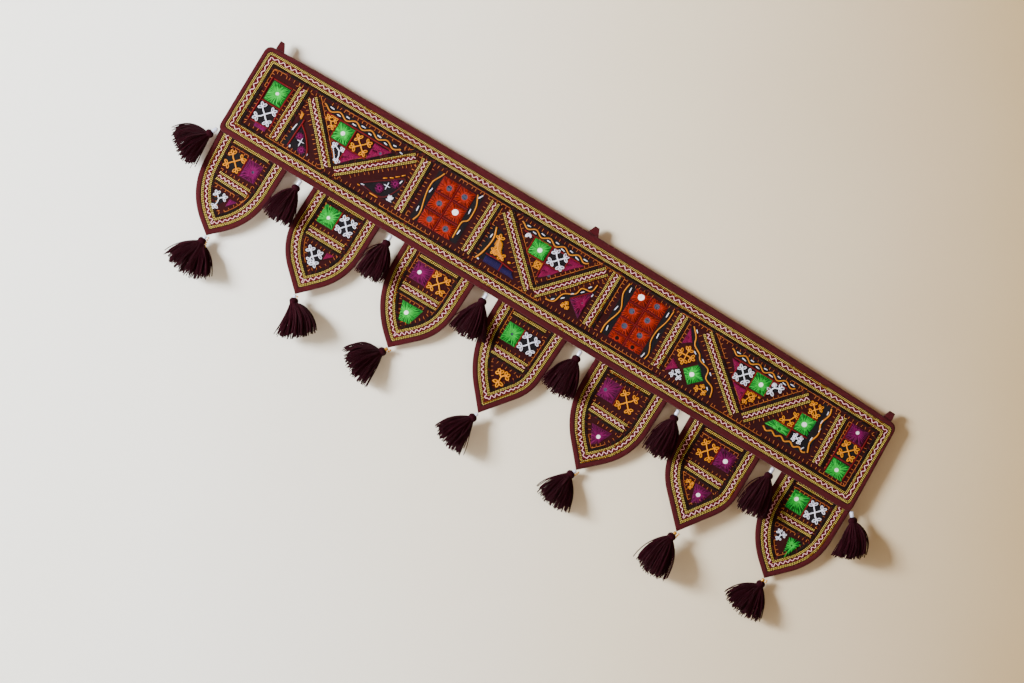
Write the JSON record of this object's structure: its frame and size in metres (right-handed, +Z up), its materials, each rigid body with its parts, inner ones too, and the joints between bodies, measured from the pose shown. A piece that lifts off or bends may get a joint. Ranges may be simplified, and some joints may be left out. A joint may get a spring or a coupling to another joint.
{
  "type": "toran door hanging",
  "caption": "Embroidered cloth band for the top of a doorway, with bound pennants, braid trims, mirror work, yarn tassels and small loops to hang it by.",
  "frame": {"origin": "middle of the band's top edge, in the cloth's hanging plane", "axes": "+X along the band to the right as seen from the front, +Y back to the wall, +Z up; the front faces -Y"},
  "size_m": [1.0124, 0.0388, 0.3357],
  "materials": {
    "ground_cloth": "dark red-brown patched cotton, quilted with orange running stitches",
    "binding": "maroon plain-weave cotton folded over the edges, matt",
    "braid": "old gold lines beside a crimson strip with a pink zigzag stitch",
    "yarn": "very dark maroon cotton yarn with a soft sheen",
    "embroidery": "raised cotton stitches in green, orange, magenta, white and red",
    "mirror_glass": "small round pieces of silvered glass, a little dull",
    "bead": "white tube beads and small gold beads on the tassels' cords"
  },
  "bodies": {
    "root": {"band_cloth": "ground_cloth", "band_binding": "binding", "band_border_trim": "braid", "divider_trim_1": "braid", "divider_trim_2": "braid", "divider_trim_3": "braid", "divider_trim_4": "braid", "divider_trim_5": "braid", "divider_trim_6": "braid", "chevron_trim_1": "braid", "chevron_trim_2": "braid", "chevron_trim_3": "braid", "pennant_1_cloth": "ground_cloth", "pennant_1_binding": "binding", "pennant_1_side_trim": "braid", "pennant_1_cross_trim": "braid", "pennant_2_cloth": "ground_cloth", "pennant_2_binding": "binding", "pennant_2_side_trim": "braid", "pennant_2_cross_trim": "braid", "pennant_3_cloth": "ground_cloth", "pennant_3_binding": "binding", "pennant_3_side_trim": "braid", "pennant_3_cross_trim": "braid", "pennant_4_cloth": "ground_cloth", "pennant_4_binding": "binding", "pennant_4_side_trim": "braid", "pennant_4_cross_trim": "braid", "pennant_5_cloth": "ground_cloth", "pennant_5_binding": "binding", "pennant_5_side_trim": "braid", "pennant_5_cross_trim": "braid", "pennant_6_cloth": "ground_cloth", "pennant_6_binding": "binding", "pennant_6_side_trim": "braid", "pennant_6_cross_trim": "braid", "pennant_7_cloth": "ground_cloth", "pennant_7_binding": "binding", "pennant_7_side_trim": "braid", "pennant_7_cross_trim": "braid", "tassel_tip_1": "yarn", "tassel_tip_2": "yarn", "tassel_tip_3": "yarn", "tassel_tip_4": "yarn", "tassel_tip_5": "yarn", "tassel_tip_6": "yarn", "tassel_tip_7": "yarn", "tassel_left_end": "yarn", "tassel_gap_1": "yarn", "tassel_gap_2": "yarn", "tassel_gap_3": "yarn", "tassel_gap_4": "yarn", "tassel_gap_5": "yarn", "tassel_gap_6": "yarn", "tassel_right_end": "yarn", "hanging_loop_left": "binding", "hanging_loop_middle": "binding", "hanging_loop_right": "binding"}
  },
  "joints": []
}
